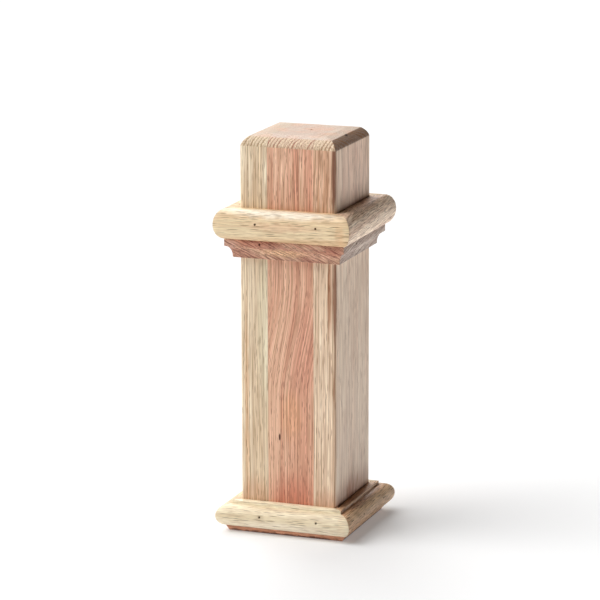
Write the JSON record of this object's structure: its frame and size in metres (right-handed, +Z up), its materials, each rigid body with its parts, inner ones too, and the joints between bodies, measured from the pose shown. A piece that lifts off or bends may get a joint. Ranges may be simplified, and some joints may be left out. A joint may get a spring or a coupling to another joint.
{
  "type": "newel post",
  "caption": "Short square newel post in bare hardwood: glued staves, rounded top edges, nailed bullnose collar over a cove, and a bullnose base with a fillet.",
  "frame": {"origin": "middle of the underside, on the floor", "axes": "+Z up along the post; the face whose staves show as tan, pink and tan from left to right looks along -Y, and +X is on the right of someone who looks at that face"},
  "size_m": [0.1276, 0.1276, 0.359],
  "materials": {
    "tan_stave": "bare sanded open-pored hardwood, tan",
    "pink_stave": "bare sanded open-pored hardwood, pinkish",
    "pale_moulding": "bare sanded open-pored hardwood, pale cream",
    "red_moulding": "bare sanded open-pored hardwood, reddish brown"
  },
  "bodies": {
    "root": {"stave_left": "tan_stave", "stave_middle": "pink_stave", "stave_right": "tan_stave", "collar_front": "pale_moulding", "collar_right": "pale_moulding", "collar_back": "pale_moulding", "collar_left": "pale_moulding", "cove_front": "red_moulding", "cove_right": "red_moulding", "cove_back": "red_moulding", "cove_left": "red_moulding", "base_front": "pale_moulding", "base_right": "pale_moulding", "base_back": "pale_moulding", "base_left": "pale_moulding", "strip_front": "red_moulding", "strip_right": "red_moulding", "strip_back": "red_moulding", "strip_left": "red_moulding"}
  },
  "joints": []
}
